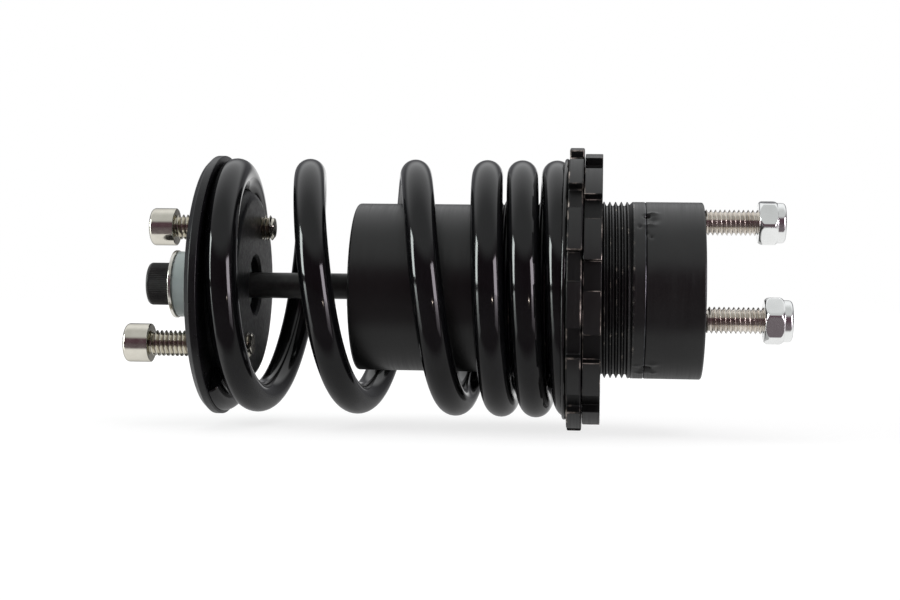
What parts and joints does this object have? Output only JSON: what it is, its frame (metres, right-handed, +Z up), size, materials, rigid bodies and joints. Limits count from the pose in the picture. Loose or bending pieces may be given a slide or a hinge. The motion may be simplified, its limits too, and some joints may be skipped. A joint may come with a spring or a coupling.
{
  "type": "coil-over strut assembly",
  "caption": "Compact coil-over strut: threaded damper body, castellated adjuster and lock rings, open-wound black coil spring, round top plate, and threaded fasteners at both ends.",
  "frame": {"origin": "centre of the end cap's outer face, where the strut seats on its bracket", "axes": "+X along the strut, out of the end cap along the studs; +Z up as it lies; the top plate is at -X"},
  "size_m": [0.2014, 0.0866, 0.0866],
  "materials": {
    "body_black": "matt black anodised, a little lighter on worn edges",
    "seal_rubber": "black nitrile rubber",
    "guide_metal": "turned aluminium",
    "bush_bronze": "sintered bronze",
    "clip_steel": "bright spring steel",
    "stud_steel": "rolled thread, stainless steel",
    "nut_plating": "bright zinc plating",
    "insert_nylon": "white nylon locking ring",
    "black_oxide": "black oxide with knurled head",
    "washer_steel": "plain steel washer",
    "bushing_nylon": "bluish white nylon, slightly translucent",
    "bumper_rubber": "black rubber",
    "band_plastic": "bronze-filled guide band",
    "plate_black": "semi-gloss black",
    "locator_cast": "black over a coarse cast grain",
    "screw_chrome": "polished stainless steel",
    "ring_black": "satin black with bare corners",
    "spring_coating": "high-gloss black powder coat"
  },
  "bodies": {
    "damper_body": {"threaded_body": "body_black", "end_cap": "body_black", "end_cap_o_ring": "seal_rubber", "rod_guide": "guide_metal", "guide_o_ring": "seal_rubber", "guide_bush": "bush_bronze", "rod_seal": "seal_rubber", "wiper_seal": "seal_rubber", "retaining_clip": "clip_steel", "mounting_studs": "stud_steel", "stud_nuts": "nut_plating", "nut_inserts": "insert_nylon", "coil_spring": "spring_coating"},
    "rod": {"centre_screw": "black_oxide", "centre_washer": "washer_steel", "nylon_bushing": "bushing_nylon", "rebound_bumper": "bumper_rubber", "piston_nuts": "clip_steel", "rebound_shims": "clip_steel", "compression_shims": "clip_steel", "piston": "guide_metal", "piston_band": "band_plastic"},
    "top_perch": {"top_plate": "plate_black", "spring_locator": "locator_cast", "top_screws": "screw_chrome"},
    "spring_seat": {"spring_seat": "ring_black"},
    "adjuster_ring": {"adjuster_ring": "ring_black"},
    "lock_ring": {"lock_ring": "ring_black"},
    "gas_piston": {"floating_piston": "guide_metal", "floating_piston_o_ring": "seal_rubber"}
  },
  "joints": [
    {"name": "strut_stroke", "type": "slide", "parent": "damper_body", "child": "rod", "axis": [1, 0, 0], "range_m": [0, 0.024], "stiffness_N_per_m": 60000, "springref_m": -0.002, "deforming": ["coil_spring"]},
    {"name": "top_swivel", "type": "hinge", "parent": "rod", "child": "top_perch", "pos_m": [-0.15, 0, 0], "axis": [1, 0, 0], "continuous": true},
    {"name": "gas_piston_slide", "type": "slide", "parent": "damper_body", "child": "gas_piston", "axis": [1, 0, 0], "range_m": [0, 0.000803]},
    {"name": "seat_travel", "type": "slide", "parent": "damper_body", "child": "spring_seat", "axis": [1, 0, 0], "range_m": [0, 0.00876]},
    {"name": "adjuster_turn", "type": "hinge", "parent": "spring_seat", "child": "adjuster_ring", "pos_m": [-0.0382, 0, 0], "axis": [1, 0, 0], "range_deg": [0, 1800]},
    {"name": "lock_ring_turn", "type": "hinge", "parent": "spring_seat", "child": "lock_ring", "pos_m": [-0.03305, 0, 0], "axis": [1, 0, 0], "range_deg": [0, 1801]}
  ],
  "couplings": [
    {"joint": "gas_piston_slide", "follows": "strut_stroke", "ratio": 0.033058},
    {"joint": "seat_travel", "follows": "adjuster_turn", "m_per_rad": 0.00027852},
    {"joint": "lock_ring_turn", "follows": "adjuster_turn", "ratio": 1}
  ]
}
